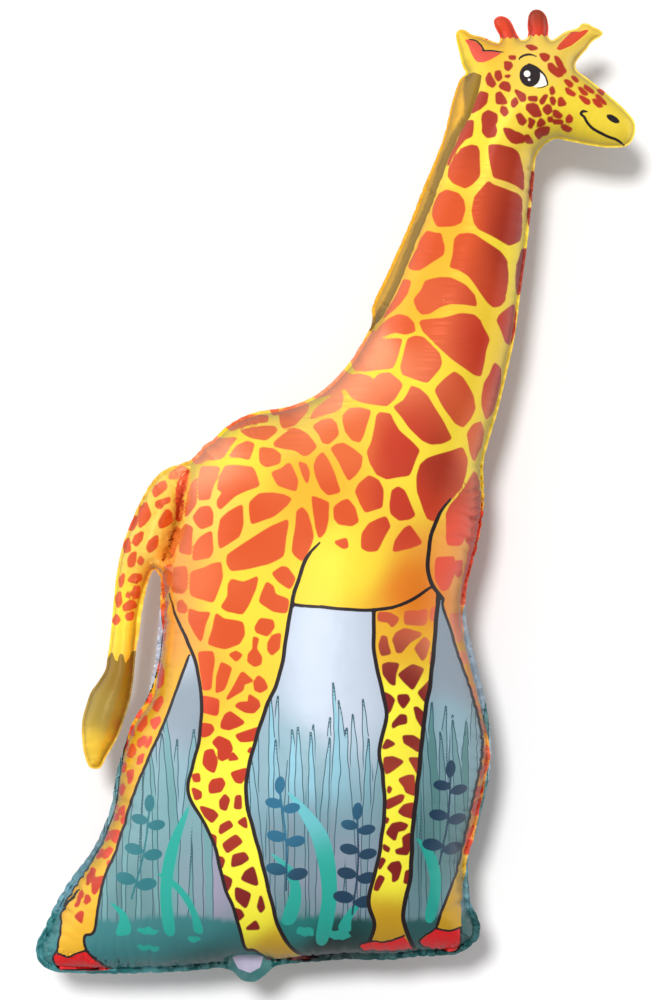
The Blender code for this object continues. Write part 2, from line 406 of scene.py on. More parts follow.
PATCHES = corners_of("""
231,457 238,447 248,442 254,445 252,454 250,459 241,457; 261,449 274,450 281,455 280,463 267,467
262,463; 202,467 221,467 218,478 213,489 211,499 200,500 200,480 200,472; 226,466 254,467 261,486
248,490 236,496 222,509 219,505 219,500 224,492 219,489 221,478; 290,464 298,481 296,491 280,485
273,473 282,470; 251,502 260,494 274,493 284,495 292,499 288,505 274,516 252,524; 195,517 202,508
211,507 214,513 213,524 203,528 198,523; 244,504 244,525 241,536 221,548 220,532 222,519 230,512;
289,519 286,543 284,555 269,563 233,570 229,562 229,554 250,540 274,525; 213,531 214,550 211,556
195,559 196,546 202,538; 223,561 224,575 220,589 215,601 192,594 192,571 207,567 214,563; 259,575
257,588 250,602 244,612 229,609 223,605 230,595 230,583 233,578 245,581; 268,581 274,585 276,593
289,598 287,610 274,608 261,600; 274,572 283,566 288,567 295,577 291,587 280,579; 241,431 252,428
265,427 275,427 278,431 273,436 266,441 256,439 248,436; 275,443 283,436 293,430 300,430 308,435
317,448 309,455 304,456 296,451 285,449 275,446; 279,411 281,424 284,429 289,428 295,426 301,419
307,412 309,405 305,402 289,407; 226,426 231,421 243,416 251,415 268,416 268,422 260,423 248,425
238,429 232,431 230,430; 269,407 278,406 277,414 273,414; 192,459 203,443 216,436 221,439 238,438
231,446 224,457 221,459 207,460 202,463 196,464; 191,607 201,611 212,611 207,623 203,640 196,630
191,620; 218,611 226,617 245,620 246,632 241,641 228,646 210,642 215,626; 232,652 238,649 243,652
238,658; 200,650 215,649 216,657 213,686 205,687 204,674; 223,659 234,665 226,686 218,689 219,674;
245,669 254,677 245,680 244,686 229,696 235,685 243,671; 204,693 221,696 219,711 204,708; 478,94
486,97 485,106 479,111 470,115 473,109; 487,114 495,118 495,125 493,128 495,134 493,139 486,140
482,135 482,128 481,122 482,117; 464,123 472,123 472,132 471,139 464,142 458,148 453,156 449,165
445,167 449,156 458,137; 504,133 517,136 522,139 523,144 514,146 507,141; 535,134 540,131 548,130
547,136 537,139; 470,148 476,149 478,154 478,179 471,187 464,191 452,185 447,178 448,170 454,160
461,151; 487,148 498,148 511,151 518,156 521,169 523,182 523,192 515,187 505,183 492,180 490,170;
446,192 457,196 462,203 464,213 460,225 452,228 436,229 432,217 432,207 437,197; 487,184 492,188
502,191 517,196 521,201 521,226 520,242 508,247 499,242 477,231 473,225 471,213 473,200 482,190;
426,233 435,236 440,236 443,248 442,257 427,267 418,272 410,271 407,266 415,253 421,239; 467,236
473,237 499,254 506,263 507,276 504,301 499,307 492,309 486,304 476,289 467,278 458,272 449,269
452,257 454,241 458,237; 439,280 449,280 464,288 473,297 475,308 461,306 449,305 440,308 429,315
421,316 416,311 413,302 421,292 424,283; 402,281 410,283 407,295 399,305 389,314 381,320 386,310
395,297; 398,316 407,319 413,325 414,333 405,336 393,333 379,339 373,335 380,327 389,320; 419,324
421,322 440,321 458,316 473,317 479,322 482,330 488,341 484,352 480,377 473,376 450,360 434,345
422,333; 506,310 513,305 516,313 515,330 510,345 505,343 500,331 496,322 498,317; 531,172 537,172
536,188 532,203 529,194; 528,209 536,209 534,228 529,225; 521,251 528,248 527,272 524,292 517,295
515,282 517,264; 384,341 395,340 401,341 397,357 392,369 379,371 367,372 354,371 351,361 360,347
373,330 377,339; 414,338 422,339 438,355 440,365 438,371 426,384 413,380 402,376 400,368 403,357
407,341; 453,373 461,379 472,397 474,409 469,419 462,428 454,424 443,409 434,393 435,389 443,381;
410,388 418,390 426,397 434,411 443,425 450,439 440,444 430,445 421,441 408,428 400,417 393,408
403,402 407,395; 359,375 370,378 373,382 379,376 389,374 398,382 401,387 394,400 386,407 375,406
362,403 352,399 345,389 328,396 316,398 314,395 343,369 346,373 352,376; 341,393 343,398 341,408
335,412 322,416 310,420 314,412 322,405 333,396; 360,409 370,412 367,422 363,435 359,443 352,441
346,433 343,422 343,416 349,410; 379,414 389,415 392,422 398,432 410,443 418,451 414,460 408,476
395,477 386,479 376,475 370,464 367,452 371,443 375,428 376,417; 331,420 336,425 338,435 328,444
323,443 320,435 314,427 322,422; 461,448 466,459 465,471 461,487 449,499 438,510 433,521 426,518
421,505 416,492 416,476 419,465 426,459 443,454; 480,422 483,432 480,448 473,462 469,451 466,435
472,425; 493,364 500,369 500,387 493,412 485,420 481,406 481,395 483,384 489,376; 473,471 478,479
477,495 467,535 459,545 446,544 445,527 445,515 449,505 465,487; 343,444 354,451 362,457 360,467
355,475 349,481 344,473 338,460 331,449 336,445; 323,453 328,460 335,476 340,492 328,495 322,489
316,476 314,467 317,459; 368,476 378,481 382,489 381,507 379,508 365,512 360,503 355,492 359,484;
397,487 403,491 408,502 414,515 408,519 398,520 390,513 389,503 391,491; 347,500 354,508 357,521
351,525 339,523 335,518 335,507 341,502; 385,516 389,526 384,535 376,550 367,550 361,547 362,532
368,523; 408,526 413,532 420,542 408,547 392,550 395,540 403,529; 335,541 346,538 347,546 343,547;
312,496 322,500 329,503 328,518 325,532 320,538 316,526 314,510; 303,507 308,513 314,535 312,542
303,560 295,554 293,550 296,529 298,511; 300,463 306,465 309,473 308,483 303,473; 473,508 484,511
480,527 473,546 466,543 472,526; 165,481 167,487 161,492 155,496 153,491 158,485; 170,498 169,502
164,503 161,508 157,506 157,502; 146,503 151,515 148,520 140,527 140,517 141,508; 137,517 136,523
133,529 129,529 129,522 134,517; 168,510 171,513 171,522 166,525 161,527 160,522 164,515; 143,532
142,539 137,545 134,542 136,536; 158,536 157,546 150,552 148,548 150,542 155,538; 129,538 130,550
125,552 124,545; 136,552 134,565 130,566 129,559 132,554; 141,557 144,560 142,564 139,562; 124,574
123,582 121,587 120,579; 134,574 141,575 141,579 137,582 129,580; 140,587 139,597 134,597 133,593
136,587; 130,591 129,597 127,596; 120,592 121,602 118,607 116,598; 134,601 136,606 125,610 124,606
130,601; 134,612 132,619 128,619 127,615; 117,615 120,620 116,624 113,621; 170,474 181,466 186,469
184,476 176,478 170,478; 187,524 194,527 193,539 192,554 181,552 181,537 183,528; 176,568 188,566
188,587 184,592 174,591 174,580; 183,599 188,605 187,611 180,610 179,603; 198,477 197,504 192,511
187,517 187,506 188,494 192,485; 251,691 260,697 261,702 255,708 247,707 238,702 242,699 251,698;
232,708 246,718 239,722 231,725 224,723 224,718 227,711; 205,720 214,721 216,725 212,730 207,732
204,732; 238,731 248,727 261,723 256,735 242,736; 221,732 231,737 234,744 231,752 224,755 221,752
221,744 215,738; 235,748 240,754 231,755; 252,743 254,744 252,747 250,746; 208,747 215,745 219,756
216,767 210,764 206,759; 233,768 248,763 249,768 243,777 238,776; 215,775 224,773 227,778 223,785
212,787 212,780; 195,770 201,769 202,776 197,776; 195,783 203,787 203,792 198,794; 227,789 231,794
228,804 223,802 222,795; 238,791 242,790 243,802 237,802; 203,801 216,805 220,809 214,816 208,811;
223,819 231,815 234,820 223,827 222,825; 240,816 247,811 248,821 244,819; 212,828 218,830 217,841
213,836; 225,838 238,829 244,835 229,846; 235,849 246,846 250,852 243,857 234,860; 219,850 224,851
226,854 224,861 221,858; 255,860 259,879 243,872 247,865; 224,868 233,873 232,879 229,884 225,876;
238,881 252,887 247,901 238,893; 262,889 265,902 262,906 259,900; 234,902 242,904 245,909 240,914
237,912; 257,915 260,923 247,923; 378,611 389,611 397,616 396,619 391,624 388,619 378,618; 404,610
418,610 425,608 425,618 423,622 404,622; 430,608 436,605 435,619 430,618; 392,637 395,631 403,627
419,631 418,633 409,639 400,649 396,649 394,641; 414,646 423,635 428,641 424,653 421,657; 381,634
385,635 386,641 389,650 381,652 379,643; 382,662 387,660 397,661 394,671 393,681 389,679 383,671;
398,671 411,662 422,666 416,677 411,686 404,679; 429,677 430,680 426,700 417,689 422,684; 397,692
406,692 408,696 402,704 398,698; 383,689 389,692 393,696 389,706 385,710 383,698; 392,723 392,719
399,711 404,712 405,719 397,720; 413,704 416,704 425,713 422,724 415,714; 430,650 434,648 432,662
429,662; 402,732 412,732 418,736 417,747 411,743 403,738; 382,743 386,735 393,739 385,743; 384,753
392,752 402,757 389,766 385,768 383,761; 408,754 419,754 420,761 417,770 412,761; 398,774 407,771
412,771 413,780 415,784 413,790 405,787 403,781; 386,795 399,790 402,791 400,796 386,803; 398,806
403,800 412,798 412,813 403,810; 391,818 399,817 406,820 403,824 396,825 394,834 386,827; 402,832
409,828 409,838 406,849 396,847 395,844 403,842; 383,839 388,842 387,845 383,843; 387,862 391,857
398,856 400,861 396,873 392,875 392,867; 405,866 409,865 409,878 403,877; 379,870 383,872 377,884
374,883 376,875; 381,852 384,854 379,863 379,858; 385,812 387,813 385,817; 388,781 390,783 388,787
387,785; 158.6,661.4 165,668.8 163.9,681.5 158.6,686.8 159.7,676.2; 145.9,697.4 151.2,693.7
151.2,700.6 147,702.7; 155.4,701.7 162.9,694.2 164.5,699.5 158.6,709.1 154.4,707; 132.1,714.4
137.4,707 141.1,710.1 139.5,716.5 132.1,717.6; 139.5,723.9 147,714.4 148,721.8 142.7,729.2
139.5,728.2; 152.8,718.6 161.3,714.4 161.8,718.6 156.5,726 153.9,722.9; 128.9,729.2 134.2,725
134.2,733.5 128.9,733.5; 139,738.8 147,733.5 145.9,739.8 140.6,745.1; 149.1,739.8 153.3,733.5
152.3,739.8 148,746.2; 128.4,754.7 131.1,745.1 134.2,742 137.4,749.4 133.2,754.7; 124.7,739.8
127.9,740.9 126.8,748.3 124.7,746.2; 140.6,754.7 145.9,751.5 142.7,760 139,761; 128.9,769.5
134.2,767.4 134.8,772.7 131.1,781.2 129.5,774.8; 121.5,766.3 125.8,761 125.8,769.5 121.5,770.6;
118.9,789.7 123.6,782.3 125.8,785.4 122.6,793.9; 119.9,808.8 125.8,803.5 125.8,810.9 120.5,811.9;
113,807.7 118.3,804.5 116.2,807.7; 113.9,813.3 118.9,812.4 118,816.6 113.9,818.2; 121.4,817.4
126.3,813.3 127.2,819.1 123.8,820.7; 113.1,829 121.4,828.2 121.4,835.7 117.2,839.8 113.1,836.5;
106.4,832.3 112.2,829.9 109.8,836.5 106.4,839; 103.9,850.6 109.8,844.8 113.9,846.4 109.8,853.1
104.8,854.7; 99,852.2 103.1,847.3 102.3,853.1 98.1,856.4; 109.8,858 113.1,857.2 110.6,863;
88.2,882.1 89,873 93.2,866.3 96.5,867.2 94.8,872.1 90.7,879.6; 94.4,882.9 94.8,876.3 105.6,873
103.9,878.8 96.5,890.4 94.8,888.7; 76.6,902.8 82.4,887.9 84,890.4 78.2,903.6; 86.5,901.2 87.4,892.9
90.7,892.9 91.9,897; 77,913.6 83.2,907.8 84.9,910.3 83.2,919.4 79.9,916.1; 449.6,613.2 461.2,613.2
461.2,640 455.9,640 450.5,620.4; 457.6,650.7 464.8,652.5 468.4,661.4 461.2,661.4; 464.8,679.3
473.7,690 475.5,700.7 468.4,690; 476.4,704.3 480.9,711.4 476.4,709.6; 480,718.6 485.3,722.1
487.1,732.9 481.8,731.1; 483.5,745.4 488.9,747.1 489.8,759.6 485.3,759.6; 480.9,766.8 487.1,761.4
487.1,768.6 480.9,777.5; 474.6,786.4 481.8,784.6 481.8,791.8 474.6,795.4; 471.9,802.5 480.9,797.1
479.1,813.2 473.7,815; 466.6,827.5 473.7,825.7 470.1,836.4 464.8,843.6; 468.4,840 471.9,840
470.1,852.5 464.8,854.3; 503.6,64.7 509.2,65.5 510.4,68.6 506.8,73 504,71; 508.4,59.1 514,59.1
513.6,61.5 509.2,61.1; 485.3,81.4 488.5,75.8 491.3,82.2 494.1,87 491.3,90.2 486.9,87; 494.9,75
498.5,74.2 500.5,80.6 497.3,83.8 494.9,79.8; 504.4,79 508.4,78.6 506.8,80.2; 498.5,89.4 502,85.4
506.8,86.2 508.4,90.2 507.6,94.2 499.7,91.4; 494.9,97.4 498.5,95.8 502.8,101.3 505.2,106.1
495.7,106.5; 513.6,93.4 522.8,98.1 523.6,103.7 520.4,104.5 517.2,99.7; 510.8,104.5 514,101.3
516.4,106.1 512.4,110.1 510.8,108.5; 500.5,110.1 504.4,110.9 506,115.7 502.8,118.9 499.7,114.9;
527.2,100.5 534.7,100.1 534.7,103.7 528,103.3; 526,108.5 531.6,107.3 535.5,108.5 539.5,118.1
532.4,118.9 525.6,112.5; 514.8,118.9 518.8,117.3 524.4,124.5 521.2,127.7 518,126.1; 527.6,121.3
533.1,123.7 530,130.8 527.6,129.3 528.8,125.3; 536.3,128.5 540.3,122.1 543.5,126.1 539.5,128.5;
502.8,131.6 509.2,132.4 518.8,138 522,145 510.8,145 506,138.8; 523.6,138.8 526.8,138 531.6,144.4
525.2,145; 534.7,134 539.5,130.8 547.9,130 547.5,134 537.9,140.4 534.7,136.4; 525.2,47.9 530.8,47.5
536.3,50.3 530,51.9; 539.1,56.8 543.3,56.4 547.9,58.5 547,61.8 543.7,63.9 541.2,61.8; 554.1,59.3
557,60.1 559.9,64.3 561.9,69.3 564.4,72.6 563.6,75.1 559,70.9 555.7,65.9; 547,67.2 550.3,66.8
553.7,70.9 557.4,71.8 561.5,75.1 560.7,77.6 557,79.2 554.1,77.6 549.9,74.7 547.4,71.8; 571.5,78.4
574.4,79.2 577.3,82.9 575.6,83.8 572.7,80.9; 563.6,82.9 566.9,82.9 571.1,85.8 570.7,88.3 568.2,88.7
564.9,85.4; 564,90.8 568.2,92.5 573.1,96.2 572.3,97.9 568.2,96.6 565.7,95; 577.7,89.6 580.2,90.4
585.6,95 585.6,96.6 582.3,96.2 579.4,93.3; 583.9,86.7 587.2,88.3 592.2,92.5 592.2,94.1 588.9,93.3
584.8,90; 597.2,90.4 600.5,90 603.4,92.5 601.3,95.8 598.8,94.1; 578.1,98.3 582.3,99.9 588.1,102.8
588.1,105.7 584.8,105.7 580.6,102; 592.2,100.8 596.4,102.4 601.3,107.8 598,108.2 593.9,104.9;
595.1,96.2 598.8,98.3 603.8,103.3 605.1,105.7 601.3,104.1 597.2,99.9; 548.7,92.5 550.8,90.4
552,93.3 552.4,95.8 549.9,97.5; 538.7,104.1 542.5,99.1 545.4,98.7 542,105.7 540,106.6; 549.1,101.6
551.6,100.8 553.7,103.7 552.4,107.4 550.3,105.7; 557.8,101.6 559.9,100.4 564,105.7 563.6,107
557.8,108.2; 542,111.6 545.8,108.2 548.7,109.1 549.9,114 545.8,116.9 542.9,114; 552.8,113.6
555.7,114 560.3,117.8 559,119.8 554.5,119.8 552.4,117.4; 565.3,120.7 568.2,117.4 570.7,120.7
569.8,123.6 565.7,124; 536.7,125.6 539.1,121.5 542,124 542.5,126.5 538.7,128.1; 546.6,120.7
550.3,120.3 550.3,123.6 547.4,124; 552,123.3 560.7,123.3 560.7,125.3 552.4,125.6; 560.3,128.1
564,127.3 570.7,130.6 568.2,132.3 562.4,130.6; 257,625 262,617 274,618 275,624 268,633 258,629;
255,634 260,636 258,646 263,654 262,661 256,663 249,658 250,651 255,646; 270,640 274,633 281,631
280,645 273,651 270,647; 256,679 260,673 265,677 268,684 262,688 257,686; 183,466 188,470 187,484
183,496 185,510 180,522 176,520 178,505 176,492 180,480; 176,526 181,530 178,545 174,556 169,560
171,545; 168,566 173,562 172,580 168,592 163,600 162,585 164,572; 162,604 168,600 166,620 165,640
161,650 160,625; 478,478 482,510 480,530 474,560 468,590 464,606 460,604 462,585 467,560 471,535
474,510 476,490; 435,557 453,556 454,568 451,578 447,588 441,590 434,578 434,565; 455,562 461,560
460,574 457,576 454,569""")

BODY = [(-60, -60), (720, -60), (720, 604), (463, 604), (441.6, 598), (429, 586), (404.5, 601),
        (371.6, 608), (322, 605), (293.5, 602.5), (285, 612), (165, 612), (158, 606), (152, 600),
        (150, 604), (148, 620), (145, 650), (143, 680), (136, 700), (129.5, 718), (124.5, 732),
        (119.5, 744), (114, 754), (110, 764), (105, 780), (60, 800), (-60, 800)]
FLANK = [(320, 542), (308, 555), (299.5, 577), (293, 600), (288, 629), (281, 670), (267, 705),
         (256.5, 738), (249.6, 766), (248, 793), (256.5, 829), (265, 862), (273, 897), (281, 925),
         (297.6, 949.5), (319.5, 957.6)]
THIGH = [(170, 593), (174, 606), (179, 619), (190.7, 642), (198.7, 663), (202, 683), (204, 704),
         (201, 738.5), (195, 761), (191, 777.5), (192, 792), (203, 811), (216.6, 839),
         (226.6, 880), (236, 905), (242.7, 930.5), (247, 945), (255, 946.7), (268, 958),
         (284, 959)]
FAR_HIND = [(191, 653), (179, 686), (168, 715.5), (156, 743), (145, 768), (133, 798),
            (123.6, 829.5), (116, 852), (107, 872), (101.4, 896), (96, 927.5), (86.6, 933),
            (88.4, 948), (101, 961), (113, 968.5)]
FAR_SHANK = [(80, 887), (62.5, 910), (61.5, 928), (58, 950)]
FAR_EDGE = [(61.7, 911), (65, 902), (74.9, 886.2), (84.9, 871.3), (94.8, 856.4), (104.8, 837.3),
            (111.4, 819), (117, 800), (120, 777), (123, 756.5), (125.9, 743.3),
            (128.9, 725.7), (135.5, 712.5), (147.2, 697.9), (154.5, 680.3), (160.4, 656.8),
            (162.6, 630.4), (161, 610)]
SHIN = [(373, 608), (373.5, 650), (380, 682), (385.5, 711), (378.5, 745), (382, 772), (383.5, 805),
        (377.5, 853), (368, 894), (374, 917.5), (369.5, 937)]
CALF = [(437, 592), (433, 640), (429, 678), (423, 714), (416, 781), (411, 829), (409.5, 870),
        (403, 902), (404, 922), (415, 949)]
FAR_FORE = [(441.6, 598), (441.6, 606), (448.7, 625.7), (457.6, 654.3), (466.6, 679.3),
            (474.6, 704.3), (480.9, 729.3), (481.8, 750.7), (478.2, 772), (474.6, 786.4),
            (467.5, 820.4), (461.2, 849), (456.8, 866.8), (444, 899), (435, 925)]
FAR_SIDE = [(461, 945), (460.7, 925), (461, 900), (467.5, 857.9), (472.8, 843.6), (477.3, 822),
            (482.6, 795.4), (486, 777.5), (490.7, 757.9), (489.8, 745.4), (486, 729),
            (480.9, 707.9), (476.4, 690), (470, 665), (464.8, 643.6), (462, 617), (464.8, 600.7),
            (464, 590)]
NEAR_HIND = THIGH + [(302, 960)] + FLANK[::-1] + [(250, 560)]
FAR_LEG = FAR_HIND + [(81, 970), (60, 969), (53.5, 957.5)] + FAR_SHANK[::-1] + FAR_EDGE + [
    (158, 600), (175, 580), (230, 600), (230, 650)]
NEAR_FORE = SHIN + [(359.6, 941.7), (365, 949)] + CALF[::-1] + [(420, 580), (380, 590)]
FAR_FORE_LEG = FAR_FORE + [(419, 937.5), (426.5, 947), (452, 952)] + FAR_SIDE

# Dark lines: half the width, how far they taper at the start and at the end, and their points
LINES = [
    (2.0, 25, 8, FLANK), (1.8, 45, 6, THIGH), (1.5, 5, 5, FAR_HIND), (1.3, 5, 5, FAR_SHANK),
    (0.8, 0, 90, FAR_EDGE), (2.0, 0, 0, SHIN), (2.2, 0, 0, CALF), (1.5, 0, 4, FAR_FORE),
    (1.7, 3, 3, [(293.5, 602.5), (322, 605), (371.6, 608), (404.5, 601), (429, 586)]),
    (2.1, 30, 0, [(449, 499), (438, 514), (429.6, 536), (426.4, 562), (429.6, 581),
                  (441.6, 598)]),
    (1.1, 0, 0, [(57, 950), (53.5, 957.5), (60, 968.5), (81, 969.5), (113, 968.5)]),
    (1.1, 0, 0, [(57, 950), (68, 955), (80, 950), (88.4, 948)]),
    (1.1, 0, 0, [(369.5, 937), (359.6, 941.7), (365, 948.5), (415, 949)]),
    (1.1, 0, 0, [(369.5, 937), (385, 938), (403, 932)]),
    (1.1, 0, 0, [(435, 925), (419, 937.5), (426.5, 946.5), (452, 951.5), (460, 945),
                 (460.7, 925)]),
    (1.1, 0, 0, [(435, 925), (448, 928), (460.7, 925)]),
    (1.1, 8, 0, [(284, 959), (305, 960), (319.5, 957.6)]),
]
FACE_LINES = [
    (1.2, 4, 8, [(518, 62.3), (518.8, 60.7), (523.6, 57.9), (529.2, 57), (535, 59)]),
    (1.4, 3, 8, [(585.6, 113.7), (581.5, 113.7), (579.4, 116.2), (582.7, 119.1), (585.6, 124),
                 (591.4, 129.8), (599.7, 134.4), (608, 138.1), (616.3, 140.6), (624.2, 145.6)]),
    (0.9, 3, 6, [(468.6, 39.9), (474.9, 41.5), (479.7, 45.5), (482.5, 50.3), (482.9, 52.3),
                 (490.9, 52.7), (502.8, 54.4)]),
    (1.1, 2, 3, [(527, 66.8), (531, 68.6), (535, 70.6), (540, 75), (543.4, 79), (545.4, 84),
                 (546.3, 88)]),
    (0.6, 2, 2, [(546.3, 88), (541, 90.4), (535, 91.2)]),
]
PUPIL = ((528.4, 78.6), (10.4, 11.6), 0.0)
NOSTRIL = ((612, 120.2), (7.4, 3.3), 0.5)
EYE_WHITE = [(535, 71.5), (539.5, 75), (543.5, 80.6), (545.6, 88), (538.7, 90.3), (532.4, 90.6),
             (531, 86), (534, 78)]
GLINTS = [((525.6, 77), (3.3, 3.3), 0.0), ((527.6, 83), (1.4, 1.3), 0.0)]

# Solid colours over the coat, each a colour and its corners
SHAPES = [
    ("#EE1218", [(57, 950), (68, 955), (80, 950), (89, 949), (101, 961), (113, 970), (81, 971),
                 (60, 970), (53, 957.5)]),
    ("#EE1218", [(369, 937.5), (385, 938), (403, 932), (415, 949.5), (365, 949.5), (359, 942)]),
    ("#E81018", [(435, 925.5), (448, 928), (461, 925), (461, 945), (452, 952), (426, 947.5),
                 (419, 938)]),
    ("#7A1512", [(292, 956), (306, 953), (320, 958), (305, 961), (284, 960)]),
    ("#E0503A", [(464.2, 39.9), (470.9, 40.3), (478.1, 44.7), (480.9, 48.7), (482.1, 52.7),
                 (493.3, 51.9), (502, 54.3), (496.5, 58.3), (489.3, 62.3), (482.9, 64.7),
                 (477.3, 64.3), (474.1, 61.5), (470.2, 53.5), (467.8, 46.3)]),
    ("#DC4420", [(555.3, 51), (558.2, 46), (563.2, 40.2), (571.5, 32), (579, 32.4), (584.8, 30.3),
                 (589.3, 30.3), (583.9, 36.1), (578.1, 41.1), (570.7, 46.9), (563.2, 50.6),
                 (559, 52.3)]),
    ("#A8A2B8", [(232, 956.5), (263.5, 956.5), (260, 967.5), (250, 973), (238, 968.5)]),
]
MANE_LINE = [(480, 77), (479, 84), (475.5, 98), (469, 117), (456, 138.6), (444, 167), (428, 212),
             (419, 231), (403, 272.5), (392, 297.5), (379.6, 319), (371, 331)]
MANE = MANE_LINE + [(340, 325), (430, 90), (455, 85), (463, 77), (473, 74)]
TUFT = [(70, 652), (106, 653), (108, 658), (110.5, 653), (113, 652), (115.5, 660), (118, 661),
        (120, 653), (123.5, 654), (126, 663), (129.5, 658), (132, 651), (141, 650), (146, 660),
        (143, 680), (136, 700), (129.5, 718), (124.5, 732), (119.5, 744), (114, 754), (110, 764),
        (105, 780), (60, 800)]

LINE_INK, WHITE_INK, BLADE_EDGE_INK = "#1E0E0E", "#FBF7F0", "#2E5964"
MANE_OUTER_INK, MANE_INNER_INK = "#EDB018", "#957008"
# The horns' red tips: their left, the gap between them, their right and their lower ends
HORN_LEFT, HORN_GAP, HORN_RIGHT, HORN_FEET = 485, 520, 555, (39, 36.5)
# How far patches are grown to their printed size: plain ones, small ones, and the tail's besides
PATCH_GROWTH, SMALL_GROWTH, TAIL_GROWTH = 0.6, 1.2, 0.3
SMALL_PATCH, TAIL_RIGHT, TAIL_BOTTOM = 28, 172, 630
# How far past its edge a shape's ink is laid: the mane's and horns', and the plain shapes'
INK_MARGIN, SHAPE_MARGIN = 3, 4

# Inks, each with the places where it is strongest. Some coat and patch inks are painted sheen and
# painted shade, as marked at each.
COAT_INKS_SHEEN_AND_SHADE = [
    ("#FFF63C", [(232, 790), (240, 860), (252, 915), (398, 700), (396, 790), (395, 860)]),
    ("#FADC34", [(560, 120), (470, 150), (510, 250), (400, 370), (430, 470), (350, 560), (240, 450),
                 (240, 600), (128, 610), (455, 60)]),
    # Muted yellow along the back's left seam, the rump, the tail, the neck's right seam and the head:
    # painted sheen
    ("#F2CC50", [(522, 185), (300, 420), (195, 500), (145, 535), (540, 60)]),
    ("#EEB424", [(480, 45), (400, 300), (440, 235), (312, 482), (158, 692), (125, 790), (395, 640),
                 (80, 920)]),
    ("#F8A440", [(462, 560), (478, 700), (474, 800), (176, 570), (176, 630)]),
    # Deep orange under the belly, between the forelegs: painted shade
    ("#E87C10", [(413, 592)]),
    # Dull gold low on the legs, just above the hooves where the base turns down: painted shade
    ("#CC9C14", [(272, 944), (388, 925), (450, 910)]),
]
PATCH_INKS_SHEEN_AND_SHADE = [
    # Pale pink on the patches of the back, the shoulder and the far foreleg's right edge: painted sheen
    ("#FF9868", [(205, 450), (330, 392), (378, 345), (475, 670)]),
    ("#E4682E", [(182, 570), (262, 425), (350, 445), (478, 455)]),
    ("#DA5012", [(240, 520), (450, 230), (400, 330), (345, 510), (220, 640), (145, 530)]),
    ("#F05030", [(158, 700), (112, 835), (466, 545), (470, 840)]),
    # Dark reds: on the neck's right side and the chest they are printed dark red deepened with painted
    # shade, elsewhere printed dark red
    ("#C4320E", [(500, 345), (400, 450), (400, 500), (228, 750), (590, 90), (84, 895)]),
    ("#A6280A", [(518, 235), (440, 465), (530, 105), (236, 820)]),
    ("#800E08", [(250, 880), (402, 700), (396, 850)]),
]
SHAPE_INKS = [
    ("#937016", [(120, 675)]),
    ("#A08632", [(108, 712)]),
    ("#F2C634", [(94, 752)]),
]
HORN_INKS = [
    ("#D2441A", [(500, 24)]),
    ("#E63410", [(501, 34), (538, 34)]),
    ("#86300E", [(539, 16)]),
]


# The print: picture between the legs

GROUND_TOP, GROUND_WAVE, GROUND_PITCH = 913, 3, 23
STEM_WIDTH = 1.0
LEAF_SIZE, LEAF_SHRINK, LEAF_TILT = 10.6, 2.6, 0.2
TUFT_TILT = 0.1
# Where grass grows: left, right, foot and top, then how far blades lean, their width and spacing
MEADOWS = ((104, 214, 935, 690), (246, 390, 940, 676), (402, 490, 935, 680))
BLADE_LEAN, BLADE_WIDTHS, BLADE_STEPS, BLADE_SEED = 16, (4.0, 6.6), (4.4, 7.2), 7

PANEL_INKS = [
    ("#C6D0DF", [(330, 640), (340, 700), (156, 665)]),
    ("#8E9CA8", [(190, 700), (445, 650), (475, 670)]),
    ("#90B2BE", [(290, 760), (165, 790), (445, 730)]),
    ("#70A0AC", [(310, 820), (60, 900), (476, 880)]),
    ("#A29CB2", [(340, 870), (195, 890)]),
    ("#567678", [(440, 860), (130, 900)]),
    ("#1C8476", [(190, 950), (300, 935)]),
    ("#0B4846", [(360, 955)]),
]
LEAF_INKS = [
    ("#25747C", [(150, 860)]),
    ("#256C8C", [(290, 790)]),
    ("#143A54", [(345, 880), (440, 820)]),
]
BLADE_INKS = [
    ("#70A0A2", [(170, 820)]),
    ("#90C5D6", [(305, 750)]),
    ("#7E94A0", [(310, 845)]),
    ("#588888", [(445, 790)]),
]
FROND_INKS = [
    ("#20A898", [(160, 880), (330, 890), (440, 860)]),
    ("#6CC2CA", [(300, 780)]),
]
GROUND_INKS = [
    ("#3A8285", [(60, 930), (140, 930), (200, 925)]),
    ("#1E7E7A", [(300, 918)]),
    ("#285C5C", [(430, 920), (476, 935), (210, 955)]),
    ("#072826", [(325, 942)]),
]
PALETTES = {"coat": COAT_INKS_SHEEN_AND_SHADE, "patch": PATCH_INKS_SHEEN_AND_SHADE, "shape": SHAPE_INKS, "panel": PANEL_INKS,
            "blade": BLADE_INKS, "leaf": LEAF_INKS, "frond": FROND_INKS, "ground": GROUND_INKS}
# Sprigs as foot, tip and pairs of leaves, fronds by their corners, and tufts as ellipses
SPRIGS = [
    ((134, 894), (152, 806), 3), ((287, 884), (281, 786), 3), ((352, 908), (357, 812), 4),
    ((438, 860), (449, 772), 3),
]
FRONDS = [
    [(166, 925), (163, 880), (171, 838), (192, 800), (181, 842), (174, 886), (177, 927)],
    [(205, 925), (193, 893), (176, 874), (160, 868), (180, 886), (193, 908), (196, 926)],
    [(316, 935), (322, 885), (312, 832), (289, 786), (327, 826), (337, 884), (328, 936)],
    [(338, 922), (350, 902), (366, 890), (352, 912), (350, 926)],
    [(282, 915), (291, 882), (283, 862), (272, 846), (294, 862), (302, 888), (295, 916)],
    [(424, 914), (429, 876), (421, 846), (415, 832), (434, 850), (440, 880), (434, 915)],
    [(448, 898), (458, 866), (467, 836), (466, 862), (457, 892)],
    [(118, 930), (122, 912), (112, 898), (128, 908), (133, 928)],
]
GROUND_TUFTS = [(150, 926, 11, 3.5), (196, 934, 7, 3), (306, 926, 9, 5), (338, 930, 12, 5),
                (431, 906, 6, 2.5), (150, 944, 12, 3)]


